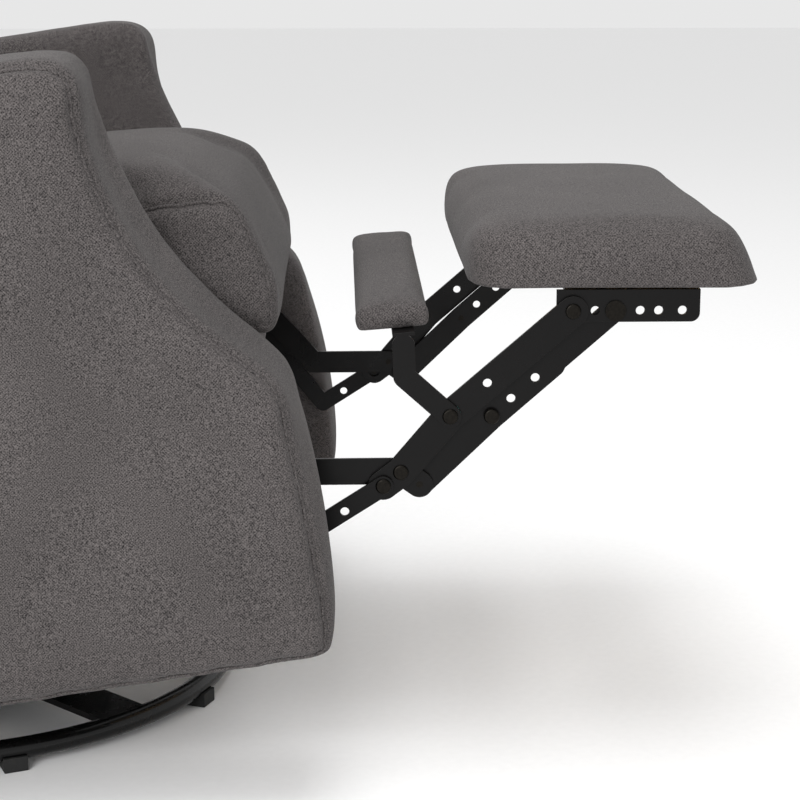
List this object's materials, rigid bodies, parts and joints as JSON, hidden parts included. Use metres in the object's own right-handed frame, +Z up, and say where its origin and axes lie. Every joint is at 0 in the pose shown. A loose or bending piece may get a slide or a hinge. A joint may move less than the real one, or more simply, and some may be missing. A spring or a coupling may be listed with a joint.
{
  "type": "glider nursery chair",
  "caption": "Upholstered glider recliner for a nursery: padded arms, seat and back, a scissor-link footrest with a middle pad, and a round swivel base with glide hangers.",
  "frame": {"origin": "on the floor, at the centre of the ring base, on the swivel axis", "axes": "+X to the front, the way the sitter faces; +Y to the sitter's left; +Z up"},
  "size_m": [1.3087, 0.734, 0.9582],
  "materials": {
    "black_steel": "satin black powder coat",
    "zinc_steel": "zinc plated",
    "rivet_steel": "black oxide",
    "rubber": "moulded",
    "nylon": "moulded",
    "wood": "unfinished plywood",
    "charcoal_fabric": "woven polyester",
    "webbing": "woven",
    "black_plastic": "moulded"
  },
  "bodies": {
    "base": {"ring_base": "black_steel", "cross_bars": "black_steel", "base_feet": "rubber", "swivel_plate_lower": "black_steel", "ball_race_lower": "zinc_steel", "swivel_balls": "zinc_steel", "king_bolt": "zinc_steel", "plate_bolts": "zinc_steel"},
    "swivel_head": {"ball_race_upper": "zinc_steel", "swivel_plate_upper": "black_steel", "glide_stands": "black_steel", "stand_bolts": "zinc_steel", "glide_bushes": "nylon"},
    "front_hangers": {"front_hangers": "black_steel", "front_hanger_shaft": "zinc_steel"},
    "rear_hangers": {"rear_hangers": "black_steel", "rear_hanger_shaft": "zinc_steel"},
    "carriage": {"carriage_rails": "black_steel", "carriage_tubes": "black_steel", "carriage_pins": "zinc_steel"},
    "chair_body": {"tilt_brackets": "black_steel", "seat_tubes": "black_steel", "mechanism_plates": "black_steel", "seat_rails": "wood", "seat_springs": "zinc_steel", "spring_cover": "webbing", "seat_cushion": "charcoal_fabric", "arm_frames": "wood", "arm_left": "charcoal_fabric", "arm_right": "charcoal_fabric", "rear_panel": "charcoal_fabric", "plate_rivets": "rivet_steel", "release_guide": "black_steel"},
    "release": {"release_pull": "black_plastic"},
    "back": {"back_posts": "wood", "back_rails": "wood", "back_webbing": "webbing", "back_cushion": "charcoal_fabric", "back_panel": "charcoal_fabric", "recline_brackets": "black_steel"},
    "upper_links": {"upper_link_left": "black_steel", "upper_link_right": "black_steel", "drive_tube": "black_steel", "upper_link_rivets": "rivet_steel"},
    "lower_links": {"lower_links": "black_steel", "lower_link_rivets": "rivet_steel"},
    "main_links": {"main_link_left": "black_steel", "main_link_right": "black_steel", "main_link_rivets": "rivet_steel", "pivot_washers": "nylon"},
    "control_links": {"control_link_left": "black_steel", "control_link_right": "black_steel", "control_link_rivets": "rivet_steel"},
    "footrest": {"footrest_brackets": "black_steel", "footrest_board": "wood", "footrest_pad": "charcoal_fabric", "footrest_screws": "zinc_steel"},
    "middle_rest": {"middle_brackets": "black_steel", "middle_board": "wood", "middle_pad": "charcoal_fabric"}
  },
  "joints": [
    {"name": "swivel", "type": "hinge", "parent": "base", "child": "swivel_head", "pos_m": [0, 0, 0.044], "axis": [0, 0, 1], "continuous": true},
    {"name": "glide", "type": "hinge", "parent": "swivel_head", "child": "rear_hangers", "pos_m": [-0.095, 0, 0.19], "axis": [0, 1, 0], "range_deg": [-24, 24]},
    {"name": "front_hanger_swing", "type": "hinge", "parent": "swivel_head", "child": "front_hangers", "pos_m": [0.095, 0, 0.19], "axis": [0, 1, 0], "range_deg": [-24.1, 24.1]},
    {"name": "carriage_hang", "type": "hinge", "parent": "rear_hangers", "child": "carriage", "pos_m": [-0.095, 0, 0.09], "axis": [0, 1, 0], "range_deg": [-24.1, 24.1]},
    {"name": "body_tilt", "type": "hinge", "parent": "carriage", "child": "chair_body", "pos_m": [0.06, 0, 0.08], "axis": [0, 1, 0], "range_deg": [0, 8.85]},
    {"name": "footrest_fold", "type": "hinge", "parent": "chair_body", "child": "upper_links", "pos_m": [0.29219, 0, 0.36386], "axis": [0, 1, 0], "range_deg": [0, 118.75]},
    {"name": "lower_link_swing", "type": "hinge", "parent": "chair_body", "child": "lower_links", "pos_m": [0.27805, 0, 0.35965], "axis": [0, 1, 0], "range_deg": [0, 118.3]},
    {"name": "main_link_swing", "type": "hinge", "parent": "upper_links", "child": "main_links", "pos_m": [0.46276, 0, 0.26813], "axis": [0, 1, 0], "range_deg": [-83.26, 0]},
    {"name": "control_link_swing", "type": "hinge", "parent": "upper_links", "child": "control_links", "pos_m": [0.47962, 0, 0.25597], "axis": [0, 1, 0], "range_deg": [-76.94, 0]},
    {"name": "footrest_turn", "type": "hinge", "parent": "main_links", "child": "footrest", "pos_m": [0.61445, 0, 0.41324], "axis": [0, 1, 0], "range_deg": [0, 45]},
    {"name": "middle_rest_turn", "type": "hinge", "parent": "main_links", "child": "middle_rest", "pos_m": [0.50647, 0, 0.31983], "axis": [0, 1, 0], "range_deg": [0, 45]},
    {"name": "recline", "type": "hinge", "parent": "chair_body", "child": "back", "pos_m": [-0.22408, 0, 0.28091], "axis": [0, -1, 0], "range_deg": [0, 30]},
    {"name": "release", "type": "slide", "parent": "chair_body", "child": "release", "axis": [-0.153, 0, 0.9882], "range_m": [0, 0.025], "stiffness_N_per_m": 400}
  ],
  "couplings": [
    {"joint": "front_hanger_swing", "follows": "glide", "ratio": 1},
    {"joint": "carriage_hang", "follows": "glide", "ratio": -1},
    {"joint": "body_tilt", "follows": "footrest_fold", "ratio": 0.07411},
    {"joint": "lower_link_swing", "follows": "footrest_fold", "ratio": 0.9958},
    {"joint": "main_link_swing", "follows": "footrest_fold", "ratio": -0.7007},
    {"joint": "control_link_swing", "follows": "footrest_fold", "ratio": -0.6475},
    {"joint": "footrest_turn", "follows": "footrest_fold", "ratio": 0.3785},
    {"joint": "middle_rest_turn", "follows": "footrest_fold", "ratio": 0.3785}
  ]
}
